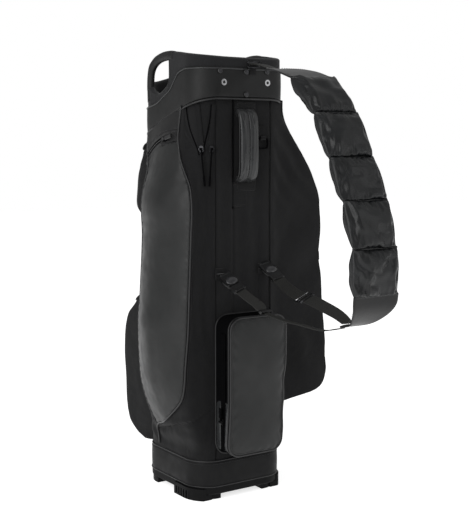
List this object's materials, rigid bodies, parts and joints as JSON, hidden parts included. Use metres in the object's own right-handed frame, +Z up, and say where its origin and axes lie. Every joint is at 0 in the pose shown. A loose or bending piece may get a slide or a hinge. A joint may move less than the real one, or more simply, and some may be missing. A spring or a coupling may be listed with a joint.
{
  "type": "cart golf bag",
  "caption": "Upright cart golf bag with divided top, rim and spine handles, full-length side pockets, ball pocket and a padded single shoulder strap with a side-release buckle.",
  "frame": {"origin": "on the ground under the middle of the bag's body", "axes": "+Z up; the spine with its handle, strap and small pocket faces -Y; the ball pocket faces +Y; the flat full-length pocket is on +X"},
  "size_m": [0.401, 0.7436, 0.917],
  "materials": {
    "base_plastic": "moulded, fine texture",
    "steel": "plain",
    "mat": "foam mat",
    "coated_fabric": "smooth coated fabric, soft sheen",
    "fabric": "woven, fine rib",
    "liner": "plain weave",
    "rod": "drawn",
    "divider_pad": "fleece",
    "eyelet": "blackened",
    "stud": "blackened",
    "webbing": "woven webbing",
    "ring_metal": "plain",
    "strap_cover": "embossed coated fabric",
    "buckle": "moulded",
    "zip_tape": "woven tape and moulded teeth",
    "zip_metal": "blackened",
    "zip_pull": "moulded grip"
  },
  "bodies": {
    "bag": {"ball_pocket_face": "coated_fabric", "ball_pocket_gusset": "fabric", "ball_pocket_zip": "zip_tape", "base_band": "coated_fabric", "base_feet": "base_plastic", "base_mat": "mat", "base_screws": "steel", "base_tray": "base_plastic", "body_liner": "liner", "buckle_plug": "buckle", "buckle_socket": "buckle", "collar": "base_plastic", "collar_band": "coated_fabric", "collar_eyelets": "eyelet", "collar_piping": "coated_fabric", "divider_bars": "divider_pad", "divider_sleeves": "liner", "front_panel": "fabric", "front_pocket_face": "coated_fabric", "front_pocket_gusset": "fabric", "front_pocket_zip": "zip_tape", "handle_plates": "coated_fabric", "inner_vent_zip": "zip_tape", "left_pocket_face": "coated_fabric", "left_pocket_gusset": "fabric", "left_pocket_zip": "zip_tape", "lift_handle": "coated_fabric", "outer_vent_zip": "zip_tape", "right_pocket_face": "fabric", "right_pocket_gusset": "fabric", "right_pocket_zip": "zip_tape", "rim_handles": "coated_fabric", "ring_tab": "webbing", "side_panels": "fabric", "snap_studs": "stud", "spine_panel": "fabric", "spine_pocket_face": "coated_fabric", "spine_pocket_gusset": "fabric", "spine_pocket_zip": "zip_tape", "stay_rods": "rod", "strap_anchors": "webbing"},
    "left_pocket_slider": {"left_pocket_slider": "zip_metal"},
    "left_pocket_pull": {"left_pocket_pull": "zip_pull"},
    "spine_pocket_slider": {"spine_pocket_slider": "zip_metal"},
    "spine_pocket_pull": {"spine_pocket_pull": "zip_pull"},
    "right_pocket_slider": {"right_pocket_slider": "zip_metal"},
    "right_pocket_pull": {"right_pocket_pull": "zip_pull"},
    "front_pocket_slider": {"front_pocket_slider": "zip_metal"},
    "front_pocket_pull": {"front_pocket_pull": "zip_pull"},
    "ball_pocket_slider": {"ball_pocket_slider": "zip_metal"},
    "ball_pocket_pull": {"ball_pocket_pull": "zip_pull"},
    "outer_vent_slider": {"outer_vent_slider": "zip_metal"},
    "outer_vent_pull": {"outer_vent_pull": "zip_pull"},
    "inner_vent_slider": {"inner_vent_slider": "zip_metal"},
    "inner_vent_pull": {"inner_vent_pull": "zip_pull"},
    "strap": {"strap_pads": "strap_cover", "strap_leaves": "strap_cover", "strap_webbing": "webbing", "strap_rings": "buckle"},
    "accessory_ring": {"accessory_ring": "ring_metal"}
  },
  "joints": [
    {"name": "left_pocket_zip_run", "type": "slide", "parent": "bag", "child": "left_pocket_slider", "axis": [-0.0999, 0.9632, -0.2497], "range_m": [-0.03, 0.0081]},
    {"name": "left_pocket_pull_hinge", "type": "hinge", "parent": "left_pocket_slider", "child": "left_pocket_pull", "pos_m": [-0.12949, -0.01192, 0.73968], "axis": [-0.1386, -0.262, -0.9551], "range_deg": [0, 150]},
    {"name": "spine_pocket_zip_run", "type": "slide", "parent": "bag", "child": "spine_pocket_slider", "axis": [0, 0, -1], "range_m": [-0.17, 0.046]},
    {"name": "spine_pocket_pull_hinge", "type": "hinge", "parent": "spine_pocket_slider", "child": "spine_pocket_pull", "pos_m": [-0.0755, -0.14, 0.172], "axis": [0, -1, 0], "range_deg": [0, 150]},
    {"name": "right_pocket_zip_run", "type": "slide", "parent": "bag", "child": "right_pocket_slider", "axis": [-0.0896, 0, 0.996], "range_m": [-0.115, 0.014]},
    {"name": "right_pocket_pull_hinge", "type": "hinge", "parent": "right_pocket_slider", "child": "right_pocket_pull", "pos_m": [0.22507, -0.056, 0.43115], "axis": [0, -1, 0], "range_deg": [0, 150]},
    {"name": "front_pocket_zip_run", "type": "slide", "parent": "bag", "child": "front_pocket_slider", "axis": [1, 0, 0], "range_m": [-0.122, 0.008]},
    {"name": "front_pocket_pull_hinge", "type": "hinge", "parent": "front_pocket_slider", "child": "front_pocket_pull", "pos_m": [0.058, 0.16547, 0.70857], "axis": [0, 0.4071, -0.9134], "range_deg": [0, 150]},
    {"name": "ball_pocket_zip_run", "type": "slide", "parent": "bag", "child": "ball_pocket_slider", "axis": [1, 0, 0], "range_m": [-0.14, 0.014]},
    {"name": "ball_pocket_pull_hinge", "type": "hinge", "parent": "ball_pocket_slider", "child": "ball_pocket_pull", "pos_m": [0.064, 0.18013, 0.38069], "axis": [0, 0.6971, -0.717], "range_deg": [0, 150]},
    {"name": "outer_vent_zip_run", "type": "slide", "parent": "bag", "child": "outer_vent_slider", "axis": [-0.0708, 0.0746, 0.9947], "range_m": [0, 0.0805]},
    {"name": "outer_vent_pull_hinge", "type": "hinge", "parent": "outer_vent_slider", "child": "outer_vent_pull", "pos_m": [-0.09698, -0.10484, 0.71997], "axis": [-0.6847, 0.7215, -0.1028], "range_deg": [0, 150]},
    {"name": "inner_vent_zip_run", "type": "slide", "parent": "bag", "child": "inner_vent_slider", "axis": [0.0623, -0.0209, 0.9978], "range_m": [0, 0.0802]},
    {"name": "inner_vent_pull_hinge", "type": "hinge", "parent": "inner_vent_slider", "child": "inner_vent_pull", "pos_m": [-0.07894, -0.11606, 0.71999], "axis": [-0.9463, 0.3166, 0.0657], "range_deg": [0, 150]},
    {"name": "strap_swing", "type": "hinge", "parent": "bag", "child": "strap", "pos_m": [0.013, -0.124, 0.887], "axis": [0, 0, 1], "range_deg": [-12, 12]},
    {"name": "accessory_ring_hinge", "type": "hinge", "parent": "bag", "child": "accessory_ring", "pos_m": [0.045, -0.1162, 0.742], "axis": [1, 0, 0], "range_deg": [-70, 0]}
  ]
}
